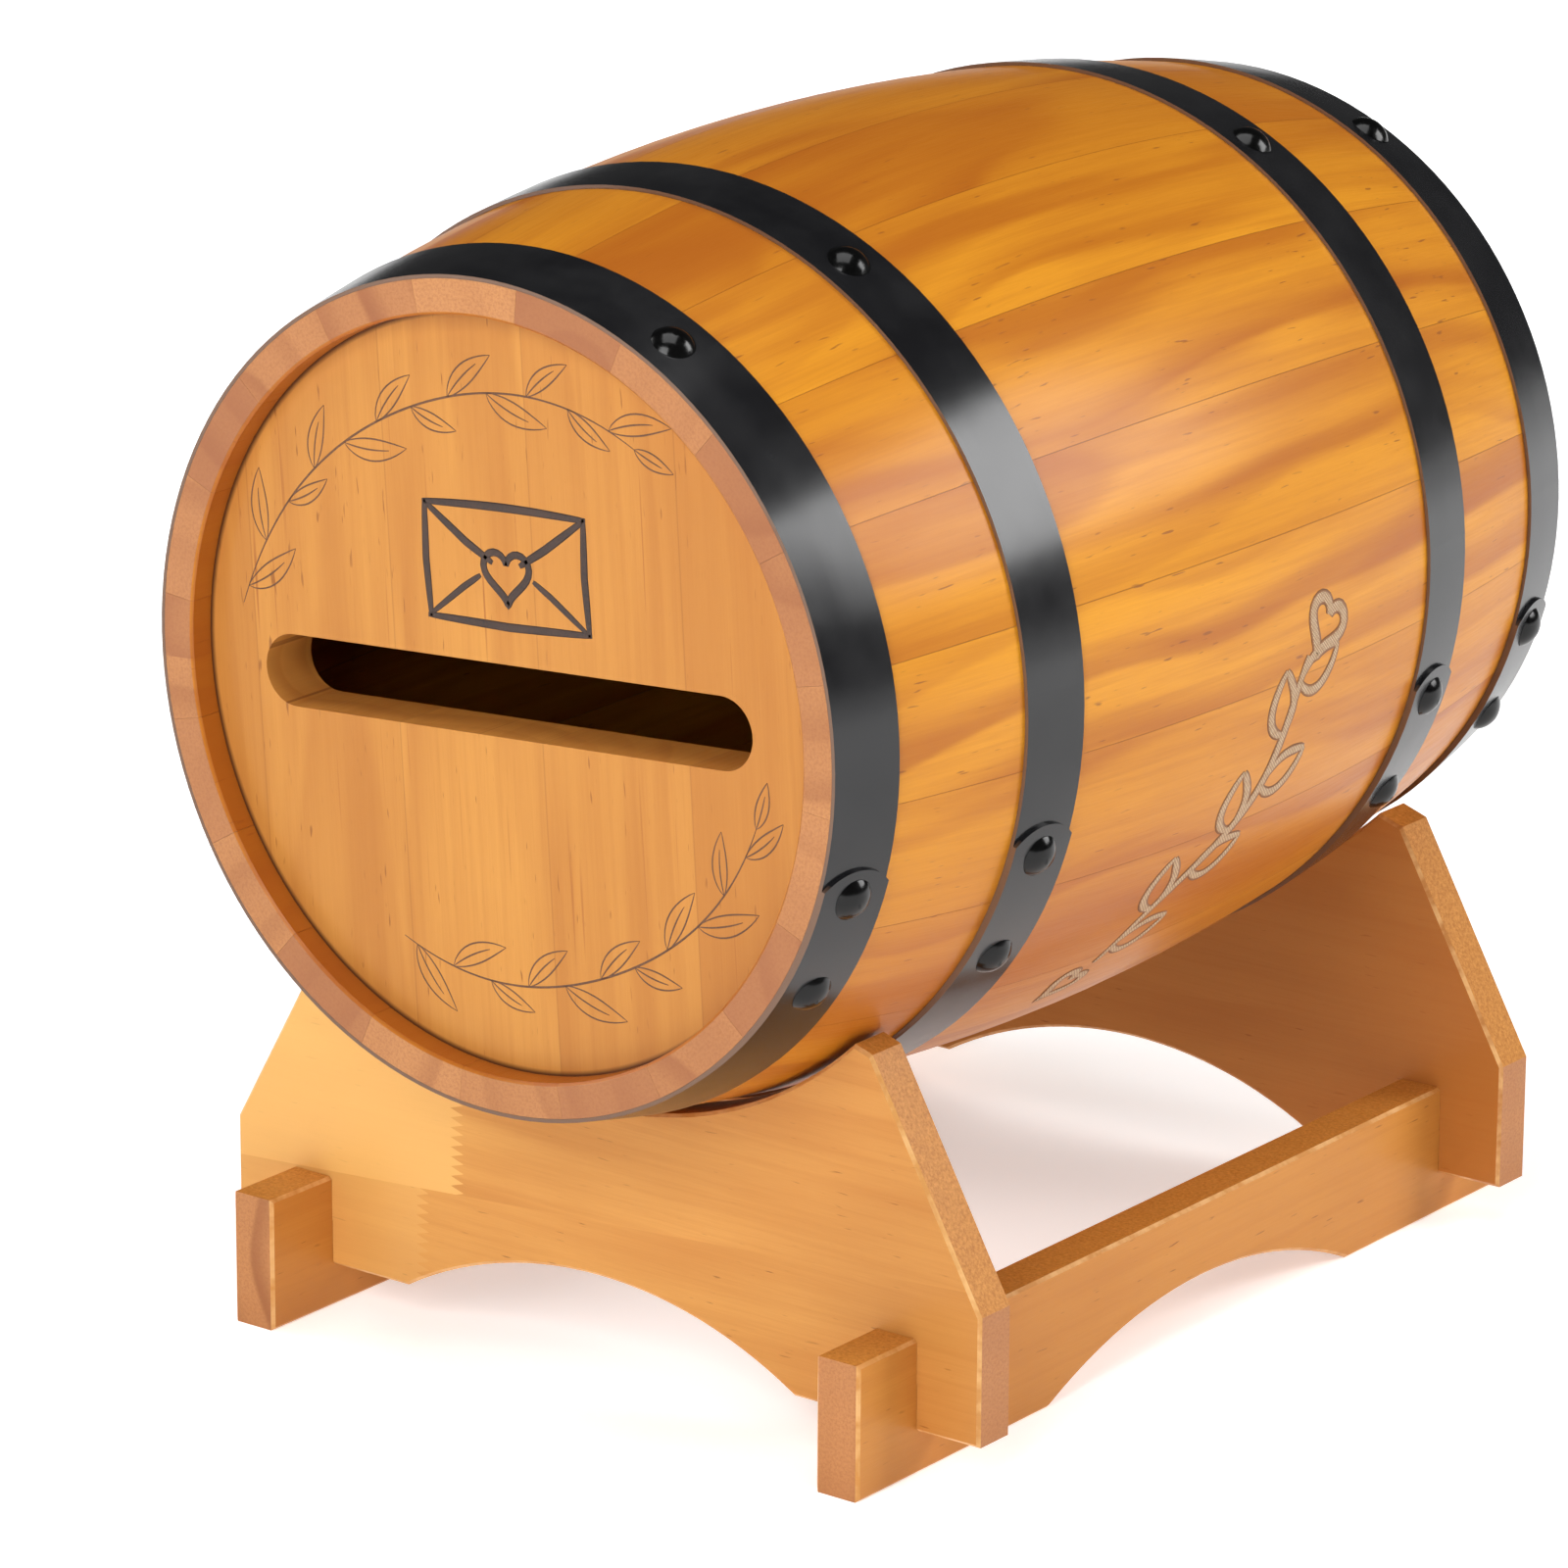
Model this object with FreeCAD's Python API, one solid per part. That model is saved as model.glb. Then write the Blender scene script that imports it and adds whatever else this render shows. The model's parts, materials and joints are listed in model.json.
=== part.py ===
import FreeCAD, Part
import math
import os

# Wedding card box: a small stave barrel lying in a two-board cradle.
# Millimetres. +Z is up, the barrel's axis runs along Y, the slotted head faces -Y.
# The origin is on the floor, below the middle of the whole object.
# Stations along the barrel are measured from its front end.

V = FreeCAD.Vector
ORIGIN = V(0, 0, 0)
UP = V(0, 0, 1)
BACK = V(0, 1, 0)
TURN = V(0, -1, 0)            # positive angles go from +X to +Z, anticlockwise from the front

# ---- Barrel shell ----
barrel_length = 302.6
end_radius = 99.0             # outside of the staves at both ends
bulge = 16.0                  # how much further out the staves stand at mid length
barrel_roll = 3.7             # the barrel lies turned by this angle in its cradle
stave_count = 20
stave_thickness = 8.4
glue_line = 0.06
rim_chamfer = 0.7
chime_depth = 7.0             # how far both heads sit inside the rims
head_thickness = 16.0
croze_depth = 3.0             # groove in the staves that holds the heads
croze_fit = 0.2
chime_backing = 4.0           # full wood behind the groove

# ---- Card slot ----
slot_length = 145.0
slot_height = 17.6
slot_offset_x = -1.0
slot_offset_z = -1.3

# ---- Hoops and their fasteners ----
hoop_width = 19.0
hoop_thickness = 0.9
hoop_fit = 0.05
inner_hoop_station = 59.5     # from a barrel end to the outer edge of the hoop next to the end one
lap_angle = -16.6             # where the hoop's outer end stops
lap_run = 40.0                # angle below it over which the outer end comes to lie on the hoop
lap_end_radius = 13.0         # rounding across the outer end
lap_rivet_angles = (-20.8, -36.0)
hoop_nail_angles = (59.0, 150.0, 238.0)
rivet_head_radius = 5.2
rivet_head_height = 2.6
rivet_shank_radius = 1.5
rivet_length = 6.0
rivet_seat = 0.02

# ---- Cradle stand ----
stock = 12.4                  # thickness of the boards and the rails
front_board_to_hoop = 7.7     # from the front board's back face to the second hoop
rear_board_to_hoop = 19.9     # from the third hoop to the rear board's front face
cradle_gap = 0.5              # between the barrel and the cradle arcs
cradle_half_angle = 44.6      # half of the arc that carries the barrel
cradle_web = 43.5             # wood between the two arcs of the front board
tip_width = 5.0               # sloping facet from the arc's end to the side
tip_drop = 1.7
side_flare = 32.1             # the lower board is this much wider on each side
board_bottom = 10.8           # the boards stand off the floor by this much
board_edge_height = 32.2      # straight part of the board's sides
board_arch_half_span = 59.3
board_arch_rise = 16.4
rail_inset = 18.0             # from the board's side to the rail's outer face
rail_height = 33.8
rail_overhang = 22.5
rail_foot = 76.2              # flat length at each end of a rail
rail_arch_rise = 14.5
lap_fit = 0.1                 # play in the crossed half laps
eased_edge = 0.8

# ---- Rear frame and door ----
rear_frame_width = 21.6       # from the rim to the door opening
swing_clearance = 0.6
stop_lip = 6.0                # how far the stop ring reaches into the opening
stop_width = 18.0
stop_thickness = 6.0
stop_clearance = 0.3
door_board_count = 3
batten_height = 18.0
batten_thickness = 8.0
batten_inset = 37.1           # from the door's edge to a batten's middle
batten_clearance = 4.0

# ---- Hinge, hasp and staple ----
knuckle_radius = 3.0
knuckle_lift = 0.3            # the knuckles clear the wood by this much
knuckle_gap = 0.3
leaf_cutback = 0.4
leaf_thickness = 1.5
pin_radius = 1.4
pin_fit = 0.05
pin_head_height = 1.2
pin_head_radius = 2.4
hinge_height = 44.0
hinge_knuckles = 5
hinge_leaf_width = 16.0
hinge_screw_pitch = 15.0
hasp_height = 22.0
hasp_knuckles = 3
hasp_plate_width = 25.0
strap_corner = 5.0
strap_end_wall = 3.7
strap_lift = 0.5              # between the staple's plate and the strap
staple_edge_gap = 1.2         # from the door opening to the staple's plate
staple_plate_width = 14.5
eye_half_width = 4.0
eye_hole_radius = 2.5
eye_thickness = 2.5
eye_above_rim = 0.6           # the eye's hole stands this much behind the barrel's rim
strap_reach = 26.0            # from the hasp's pin to the eye's middle
strap_slot_side = 0.8
strap_slot_near = 1.2
strap_slot_swing = 0.7        # room left at the slot's far end while the strap swings
screw_head_radius = 2.6
screw_head_depth = 1.4
screw_shank_radius = 1.2
screw_length = 10.0
screw_fit = 0.05
screw_recess_width = 0.6
screw_recess_depth = 0.7
screw_recess_length = 2.8
staple_screw_offset = 7.2
hasp_screw_rows = (8.0, 18.0)
hasp_screw_offset = 6.0

# ---- Sizes that follow ----
half_length = barrel_length / 2
curve_radius = (half_length ** 2 + bulge ** 2) / (2 * bulge)
curve_centre = end_radius + bulge - curve_radius
lap_shift = hoop_thickness / (1 - math.cos(math.radians(lap_run)))
rim_bore = end_radius - stave_thickness
groove_radius = rim_bore + croze_depth
head_radius = groove_radius - croze_fit
stave_angle = 360 / stave_count
rear_face = barrel_length - chime_depth
opening_radius = rim_bore - rear_frame_width
pin_height = knuckle_radius + knuckle_lift
door_gap = swing_clearance + head_thickness * (head_thickness + 2 * pin_height) / (4 * opening_radius)
door_radius = opening_radius - door_gap
door_thickness = head_thickness - stop_clearance
batten_offset = door_radius - batten_inset
hinge_x = -(opening_radius - door_gap / 2)
stop_bore = opening_radius - stop_lip
inner_hoop_edge = inner_hoop_station + hoop_width
hoop_stations = (
    0,
    inner_hoop_station,
    barrel_length - inner_hoop_edge,
    barrel_length - hoop_width,
)
strap_bottom = leaf_thickness + strap_lift
eye_height = chime_depth + eye_above_rim + eye_hole_radius
eye_x = opening_radius + staple_edge_gap + staple_plate_width / 2
hasp_x = eye_x - strap_reach
eye_top = eye_height + eye_half_width
mid_y = (rear_face + eye_top) / 2


def skin(station, offset=0.0):
    """Radius of the barrel's outside at a station, or of a surface parallel to it."""
    return curve_centre + math.sqrt((curve_radius + offset) ** 2 - (station - half_length) ** 2)


front_board_back = inner_hoop_station - front_board_to_hoop
rear_board_front = barrel_length - inner_hoop_station + rear_board_to_hoop
front_board_station = front_board_back - stock
front_arc_radius = skin(front_board_back) + cradle_gap
rear_arc_radius = skin(rear_board_front) + cradle_gap
axis_height = board_bottom + board_arch_rise + cradle_web + front_arc_radius
rail_start = front_board_station - rail_overhang
rail_end = rear_board_front + stock + rail_overhang

os.makedirs("parts", exist_ok=True)


# ---- Shape helpers ----
def box(x0, x1, y0, y1, z0, z1):
    return Part.makeBox(x1 - x0, y1 - y0, z1 - z0, V(x0, y0, z0))


def rod(radius, start, length, direction):
    return Part.makeCylinder(radius, length, start, direction)


def ring(outer, inner, y0, y1):
    disc = rod(outer, V(0, y0, 0), y1 - y0, BACK)
    return disc.cut(rod(inner, V(0, y0 - 1, 0), y1 - y0 + 2, BACK))


def line(a, b):
    return Part.LineSegment(a, b).toShape()


def arc(a, b, c):
    return Part.Arc(a, b, c).toShape()


def face_of(edges):
    return Part.Face(Part.Wire(edges))


def path(points):
    return [line(points[i], points[i + 1]) for i in range(len(points) - 1)]


def arch_cylinder(half_span, rise, base, middle, start, length, direction):
    """Cylinder that cuts a shallow arch of the given half span and rise above a base line."""
    radius = (half_span ** 2 + rise ** 2) / (2 * rise)
    centre = V(middle.x, middle.y, base + rise - radius) + direction * start
    return rod(radius, centre, length, direction)


def export(name, shape):
    shape.exportStep("parts/" + name + ".step")


def export_stand(name, shape):
    placed = shape.copy()
    placed.translate(V(0, -mid_y, 0))
    export(name, placed)


def export_barrel(name, shape):
    """Barrel pieces are made about their own axis, then rolled and set in the cradle."""
    placed = shape.copy()
    placed.rotate(ORIGIN, TURN, barrel_roll)
    placed.translate(V(0, -mid_y, axis_height))
    export(name, placed)


# ---- Fasteners ----
def turned_pin(profile):
    """Solid of revolution about Z from a closed list of edges in the XZ plane."""
    return face_of(profile).revolve(ORIGIN, UP, 360)


def domed_rivet(head_radius, head_height, shank_radius, length):
    """Rivet with a spherical head sitting on z = 0 and its shank below."""
    sphere = (head_radius ** 2 + head_height ** 2) / (2 * head_height)
    half_turn = math.asin(head_radius / sphere) / 2
    crown = V(sphere * math.sin(half_turn), 0, head_height - sphere * (1 - math.cos(half_turn)))
    shank = path([V(0, 0, head_height), V(0, 0, -length), V(shank_radius, 0, -length),
                  V(shank_radius, 0, 0), V(head_radius, 0, 0)])
    return turned_pin(shank + [arc(V(head_radius, 0, 0), crown, V(0, 0, head_height))])


def screw_body(fit=0.0):
    """Flat-headed screw, or the hole for one when a fit is given."""
    radius = screw_shank_radius + fit
    points = [ORIGIN, V(0, 0, -screw_length - fit), V(radius, 0, -screw_length - fit),
              V(radius, 0, -screw_head_depth), V(screw_head_radius + fit, 0, 0)]
    return turned_pin(path(points + [ORIGIN]))


def screw():
    body = screw_body()
    reach = screw_recess_length / 2
    half = screw_recess_width / 2
    for x, y in ((reach, half), (half, reach)):
        body = body.cut(box(-x, x, -y, y, -screw_recess_depth, 1))
    return body


def placed_at(shape, position, direction):
    result = shape.copy()
    result.Placement = FreeCAD.Placement(position, FreeCAD.Rotation(UP, direction))
    return result


def screw_set(positions, direction):
    """Screws at the given points, and the holes that they need."""
    screws = [placed_at(screw(), p, direction) for p in positions]
    holes = [placed_at(screw_body(screw_fit), p, direction) for p in positions]
    return Part.makeCompound(screws), Part.makeCompound(holes)


# ---- Hoops ----
def hoop_profile(station, inner_offset, thickness):
    end = station + hoop_width
    outer_offset = inner_offset + thickness
    middle = station + hoop_width / 2

    def point(s, offset):
        return V(skin(s, offset), s, 0)

    return face_of([
        arc(point(station, inner_offset), point(middle, inner_offset), point(end, inner_offset)),
        line(point(end, inner_offset), point(end, outer_offset)),
        arc(point(end, outer_offset), point(middle, outer_offset), point(station, outer_offset)),
        line(point(station, outer_offset), point(station, inner_offset)),
    ])


def lap_rise(angle):
    """Height of the outer end over the hoop it lies on."""
    below = math.radians(lap_angle - angle)
    return hoop_thickness - lap_shift * (1 - math.cos(below))


def hoop_lap(station):
    """Outer end of the hoop over its other end: rounded at its tip, lying down onto the hoop further on."""
    sweep = lap_run + 4
    profile = hoop_profile(station, hoop_fit + hoop_thickness, hoop_thickness)
    profile.translate(V(-lap_shift, 0, 0))
    lap = profile.revolve(ORIGIN, TURN, sweep)
    lap.rotate(ORIGIN, TURN, -sweep)
    lap.translate(V(lap_shift, 0, 0))
    middle = station + hoop_width / 2
    reach = end_radius + 2 * bulge
    outline = rod(lap_end_radius, V(0, middle, -lap_end_radius), reach, V(1, 0, 0))
    outline = outline.fuse(box(0, reach, middle - hoop_width, middle + hoop_width, -reach, -lap_end_radius))
    lap = lap.common(outline)
    lap.rotate(ORIGIN, TURN, lap_angle)
    above = hoop_profile(station, hoop_fit + hoop_thickness / 2, 2 * hoop_thickness)
    return lap.common(above.revolve(ORIGIN, TURN, 360))


def skin_point(station, angle, offset):
    """Point over the barrel's outside and the surface's normal there."""
    radius = skin(station, offset)
    across = (radius - curve_centre) / (curve_radius + offset)
    along = (station - half_length) / (curve_radius + offset)
    cos_a = math.cos(math.radians(angle))
    sin_a = math.sin(math.radians(angle))
    position = V(radius * cos_a, station, radius * sin_a)
    normal = V(across * cos_a, along, across * sin_a)
    return position, normal


def hoop_fasteners(station):
    middle = station + hoop_width / 2
    single = hoop_fit + hoop_thickness + rivet_seat
    places = [(a, single + lap_rise(a)) for a in lap_rivet_angles]
    places += [(a, single) for a in hoop_nail_angles]
    rivet = domed_rivet(rivet_head_radius, rivet_head_height, rivet_shank_radius, rivet_length)
    rivets = []
    holes = []
    for angle, offset in places:
        position, normal = skin_point(middle, angle, offset)
        rivets.append(placed_at(rivet, position, normal))
        hole_start = position + normal
        depth = rivet_length + 1 + screw_fit
        holes.append(rod(rivet_shank_radius + screw_fit, hole_start, depth, normal * -1))
    return Part.makeCompound(rivets), Part.makeCompound(holes)


rivet_holes = []
for number, station in enumerate(hoop_stations, start=1):
    rivets, holes = hoop_fasteners(station)
    hoop = hoop_profile(station, hoop_fit, hoop_thickness).revolve(ORIGIN, TURN, 360)
    hoop = hoop.fuse(hoop_lap(station)).cut(holes)
    rivet_holes.append(holes)
    export_barrel("hoop_%d" % number, hoop)
    export_barrel("hoop_%d_rivets" % number, rivets)


# ---- Staves ----
def stave_profile():
    groove_front = chime_depth - croze_fit
    groove_back = chime_depth + head_thickness + croze_fit
    chime_end = chime_depth + head_thickness + chime_backing
    inner_mid = end_radius + bulge - stave_thickness
    near = [V(rim_bore, chime_end, 0), V(rim_bore, groove_back, 0), V(groove_radius, groove_back, 0),
            V(groove_radius, groove_front, 0), V(rim_bore, groove_front, 0), V(rim_bore, rim_chamfer, 0),
            V(rim_bore + rim_chamfer, 0, 0), V(end_radius, 0, 0)]
    far = [V(p.x, barrel_length - p.y, 0) for p in reversed(near)]
    outside = arc(V(end_radius, 0, 0), V(end_radius + bulge, half_length, 0),
                  V(end_radius, barrel_length, 0))
    inside = arc(V(rim_bore, barrel_length - chime_end, 0), V(inner_mid, half_length, 0),
                 V(rim_bore, chime_end, 0))
    return face_of([outside] + path(far) + [inside] + path(near))


all_rivet_holes = Part.makeCompound(rivet_holes)
stave_sweep = stave_angle - math.degrees(glue_line / end_radius)
stave_blank = stave_profile().revolve(ORIGIN, TURN, stave_sweep)
for number in range(stave_count):
    stave = stave_blank.copy()
    stave.rotate(ORIGIN, TURN, number * stave_angle - stave_sweep / 2)
    export_barrel("stave_%02d" % (number + 1), stave.cut(all_rivet_holes))


# ---- Front head with the card slot ----
def card_slot(y0, y1):
    radius = slot_height / 2
    reach = slot_length / 2 - radius
    z = slot_offset_z
    slot = box(slot_offset_x - reach, slot_offset_x + reach, y0, y1, z - radius, z + radius)
    for x in (-reach, reach):
        slot = slot.fuse(rod(radius, V(slot_offset_x + x, y0, z), y1 - y0, BACK))
    return slot.removeSplitter()


head_back = chime_depth + head_thickness
front_head = rod(head_radius, V(0, chime_depth, 0), head_thickness, BACK)
front_head = front_head.cut(card_slot(chime_depth - 1, head_back + 1))
export_barrel("front_head", front_head)


# ---- Hinge parts: pin along Z, wood face at y = 0, knuckles standing out towards +y ----
def hinge_leaf(side, width, height, count, owned, plate_y):
    """Leaf on one side of the pin with the knuckles whose numbers it owns."""
    pitch = height / count
    half = height / 2
    reach = knuckle_radius + leaf_cutback
    x0, x1 = sorted((0, side * width))
    leaf = box(x0, x1, plate_y, plate_y + leaf_thickness, -half, half)
    for i in range(count):
        z0 = i * pitch - half
        if i in owned:
            start = V(0, pin_height, z0 + knuckle_gap / 2)
            leaf = leaf.fuse(rod(knuckle_radius, start, pitch - knuckle_gap, UP))
        else:
            low = z0 - knuckle_gap / 2
            leaf = leaf.cut(box(-reach, reach, -1, 2 * pin_height, low, low + pitch + knuckle_gap))
    bore = rod(pin_radius + pin_fit, V(0, pin_height, -half - 1), height + 2, UP)
    return leaf.cut(bore)


def hinge_pin(height):
    """Headed pin: the heads sit just beyond the outer knuckles."""
    half = height / 2
    pin = rod(pin_radius, V(0, pin_height, -half), height, UP)
    for z in (half, -half - pin_head_height):
        pin = pin.fuse(rod(pin_head_radius, V(0, pin_height, z), pin_head_height, UP))
    return pin


def on_rear(shape, x):
    """Move hardware from its own frame to the rear face."""
    placed = shape.copy()
    placed.translate(V(x, rear_face, 0))
    return placed


hinge_zs = (-hinge_screw_pitch, 0, hinge_screw_pitch)
hinge_screw_x = (knuckle_radius + leaf_cutback + hinge_leaf_width) / 2
frame_screws, frame_holes = screw_set([V(-hinge_screw_x, leaf_thickness, z) for z in hinge_zs], BACK)
door_screws, door_holes = screw_set([V(hinge_screw_x, leaf_thickness, z) for z in hinge_zs], BACK)
frame_owned = range(0, hinge_knuckles, 2)
door_owned = range(1, hinge_knuckles, 2)
frame_leaf = hinge_leaf(-1, hinge_leaf_width, hinge_height, hinge_knuckles, frame_owned, 0).cut(frame_holes)
door_leaf = hinge_leaf(1, hinge_leaf_width, hinge_height, hinge_knuckles, door_owned, 0).cut(door_holes)
export_barrel("hinge_frame_leaf", on_rear(frame_leaf, hinge_x))
export_barrel("hinge_door_leaf", on_rear(door_leaf, hinge_x))
export_barrel("hinge_pin", on_rear(hinge_pin(hinge_height), hinge_x))
export_barrel("hinge_frame_screws", on_rear(frame_screws, hinge_x))
export_barrel("hinge_door_screws", on_rear(door_screws, hinge_x))


# ---- Hasp: plate on the door, strap over the staple on the frame ----
def hasp_strap():
    eye_far = strap_reach + eye_half_width
    rise = eye_top - strap_bottom
    slot_far = math.hypot(eye_far + strap_slot_swing, rise)
    slot_near = strap_reach - eye_half_width - strap_slot_near
    slot_half = eye_thickness / 2 + strap_slot_side
    end = slot_far + strap_end_wall
    strap = hinge_leaf(1, end, hasp_height, hasp_knuckles, (1,), strap_bottom)
    corners = [e for e in strap.Edges if e.Length < 2 * leaf_thickness and e.CenterOfMass.x > end - 0.1]
    upright = [e for e in corners if abs(e.Vertexes[0].Y - e.Vertexes[-1].Y) > leaf_thickness / 2]
    strap = strap.makeFillet(strap_corner, upright)
    return strap.cut(box(slot_near, slot_far, 0, 2 * pin_height, -slot_half, slot_half))


def staple():
    half = staple_plate_width / 2
    plate = box(-half, half, 0, leaf_thickness, -hasp_height / 2, hasp_height / 2)
    start = V(0, eye_height, -eye_thickness / 2)
    eye = box(-eye_half_width, eye_half_width, 0, eye_height, -eye_thickness / 2, eye_thickness / 2)
    eye = eye.fuse(rod(eye_half_width, start, eye_thickness, UP))
    hole = rod(eye_hole_radius, start - UP, eye_thickness + 2, UP)
    return plate.fuse(eye).cut(hole)


hasp_zs = (-hasp_screw_offset, hasp_screw_offset)
hasp_places = [V(-x, leaf_thickness, z) for x in hasp_screw_rows for z in hasp_zs]
hasp_screws, hasp_holes = screw_set(hasp_places, BACK)
staple_places = [V(0, leaf_thickness, z) for z in (-staple_screw_offset, staple_screw_offset)]
staple_screws, staple_holes = screw_set(staple_places, BACK)
hasp_plate = hinge_leaf(-1, hasp_plate_width, hasp_height, hasp_knuckles, (0, 2), 0).cut(hasp_holes)
export_barrel("hasp_plate", on_rear(hasp_plate, hasp_x))
export_barrel("hasp_strap", on_rear(hasp_strap(), hasp_x))
export_barrel("hasp_pin", on_rear(hinge_pin(hasp_height), hasp_x))
export_barrel("hasp_screws", on_rear(hasp_screws, hasp_x))
export_barrel("staple", on_rear(staple().cut(staple_holes), eye_x))
export_barrel("staple_screws", on_rear(staple_screws, eye_x))


# ---- Rear frame, stop ring and door ----
frame_inner = rear_face - head_thickness
rear_frame = ring(head_radius, opening_radius, frame_inner, rear_face)
rear_frame = rear_frame.cut(on_rear(frame_holes, hinge_x)).cut(on_rear(staple_holes, eye_x))
export_barrel("rear_frame", rear_frame)
door_stop = ring(stop_bore + stop_width, stop_bore, frame_inner - stop_thickness, frame_inner)
export_barrel("door_stop", door_stop)

door_back = rear_face - door_thickness
batten_back = door_back - batten_thickness
batten_edge = batten_offset + batten_height / 2
batten_reach = math.sqrt((stop_bore - batten_clearance) ** 2 - batten_edge ** 2)
board_width = 2 * door_radius / door_board_count
board_middles = [(i + 0.5) * board_width - door_radius for i in range(door_board_count)]
batten_screw_xs = [max(-batten_reach + batten_height / 2, min(batten_reach - batten_height / 2, x))
                   for x in board_middles]
batten_places = [V(x, batten_back, z) for z in (-batten_offset, batten_offset) for x in batten_screw_xs]
batten_screws, batten_holes = screw_set(batten_places, BACK * -1)
export_barrel("door_batten_screws", batten_screws)
for name, z in (("door_batten_upper", batten_offset), ("door_batten_lower", -batten_offset)):
    batten = box(-batten_reach, batten_reach, batten_back, door_back,
                 z - batten_height / 2, z + batten_height / 2)
    export_barrel(name, batten.cut(batten_holes))

door_cuts = [on_rear(door_holes, hinge_x), on_rear(hasp_holes, hasp_x), batten_holes]
door_disc = rod(door_radius, V(0, door_back, 0), door_thickness, BACK)
for number, middle in enumerate(board_middles, start=1):
    half = (board_width - glue_line) / 2
    board = door_disc.common(box(middle - half, middle + half, door_back - 1, rear_face + 1,
                                 -door_radius - 1, door_radius + 1))
    for cut in door_cuts:
        board = board.cut(cut)
    export_barrel("door_board_%d" % number, board)


# ---- Cradle stand ----
tip_x = front_arc_radius * math.sin(math.radians(cradle_half_angle)) + tip_width
tip_z = axis_height - front_arc_radius * math.cos(math.radians(cradle_half_angle)) - tip_drop
board_half_width = tip_x + side_flare
rail_outer = board_half_width - rail_inset
rail_inner = rail_outer - stock
lap_height = (board_bottom + rail_height) / 2


def cradle_board(station, arc_radius):
    """Board with sloping shoulders, the barrel's arc on top and a shallow arch below."""
    ridge = tip_z + tip_x * tip_drop / tip_width
    right = [V(board_half_width, station, board_bottom),
             V(board_half_width, station, board_bottom + board_edge_height), V(tip_x, station, tip_z)]
    left = [V(-p.x, p.y, p.z) for p in reversed(right)]
    outline = right + [V(0, station, ridge)] + left
    board = face_of(path(outline + [outline[0]])).extrude(BACK * stock)
    board = board.cut(rod(arc_radius, V(0, station - 1, axis_height), stock + 2, BACK))
    board = board.cut(arch_cylinder(board_arch_half_span, board_arch_rise, board_bottom,
                                    ORIGIN, station - 1, stock + 2, BACK))
    rims = [e for e in board.Edges if abs(e.CenterOfMass.y - station - stock / 2) > stock / 2 - 0.01]
    board = board.makeChamfer(eased_edge, rims)
    for side in (-1, 1):
        x0, x1 = sorted((side * (rail_inner - lap_fit), side * (rail_outer + lap_fit)))
        board = board.cut(box(x0, x1, station - 1, station + stock + 1,
                              board_bottom - 1, lap_height + lap_fit / 2))
    return board


def rail(side):
    """Side rail on two flat feet, notched on top where the boards cross it."""
    x0, x1 = sorted((side * rail_inner, side * rail_outer))
    body = box(x0, x1, rail_start, rail_end, 0, rail_height)
    half_span = (rail_end - rail_start) / 2 - rail_foot
    middle = V(0, (rail_start + rail_end) / 2, 0)
    body = body.cut(arch_cylinder(half_span, rail_arch_rise, 0, middle, x0 - 1, stock + 2, V(1, 0, 0)))
    sides = [e for e in body.Edges if abs(e.CenterOfMass.x - (x0 + x1) / 2) > stock / 2 - 0.01]
    body = body.makeChamfer(eased_edge, sides)
    for station in (front_board_station, rear_board_front):
        body = body.cut(box(x0 - 1, x1 + 1, station - lap_fit, station + stock + lap_fit,
                            lap_height - lap_fit / 2, rail_height + 1))
    return body


export_stand("front_cradle_board", cradle_board(front_board_station, front_arc_radius))
export_stand("rear_cradle_board", cradle_board(rear_board_front, rear_arc_radius))
export_stand("left_rail", rail(-1))
export_stand("right_rail", rail(1))
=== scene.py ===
import math

import bpy
from mathutils import Matrix, Vector
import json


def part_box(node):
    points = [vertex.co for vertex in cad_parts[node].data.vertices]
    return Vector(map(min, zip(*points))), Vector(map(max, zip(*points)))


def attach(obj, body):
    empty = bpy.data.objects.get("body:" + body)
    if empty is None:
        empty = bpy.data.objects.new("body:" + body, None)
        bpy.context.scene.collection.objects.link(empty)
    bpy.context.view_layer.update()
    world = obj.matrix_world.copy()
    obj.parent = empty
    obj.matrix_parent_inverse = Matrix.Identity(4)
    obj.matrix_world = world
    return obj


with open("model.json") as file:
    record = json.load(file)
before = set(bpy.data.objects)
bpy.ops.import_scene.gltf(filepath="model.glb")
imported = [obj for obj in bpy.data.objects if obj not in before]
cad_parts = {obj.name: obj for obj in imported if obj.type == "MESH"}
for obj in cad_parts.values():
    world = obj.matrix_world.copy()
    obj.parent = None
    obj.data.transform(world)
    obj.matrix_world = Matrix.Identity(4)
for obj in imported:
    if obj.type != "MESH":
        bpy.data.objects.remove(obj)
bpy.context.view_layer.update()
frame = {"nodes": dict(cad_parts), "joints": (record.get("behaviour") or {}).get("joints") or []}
NODES = frame["nodes"]
MM = 0.001

# ---- Places read from the frame (metres, radians) ----
hinge_axis = next(j["axis"] for j in frame["joints"] if j["name"] == "door_hinge")
head_low, head_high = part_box("front_head")
ROLL = math.atan2(-hinge_axis[0], hinge_axis[2])
AXIS_HEIGHT = (head_low.z + head_high.z) / 2
HEAD_FACE = head_low.y
BARREL_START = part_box("hoop_1")[0].y
BARREL_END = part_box("hoop_4")[1].y
BARREL_MIDDLE = (BARREL_START + BARREL_END) / 2
HALF_LENGTH = (BARREL_END - BARREL_START) / 2
STAVES = [node for name, node in NODES.items() if name.startswith("stave_")]


def stave_radii(start, end):
    """Distances from the barrel's axis of the staves' corners between two stations."""
    corners = [v.co for node in STAVES for v in node.data.vertices]
    return [math.hypot(c.x, c.z - AXIS_HEIGHT) for c in corners if start <= c.y <= end]


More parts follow.
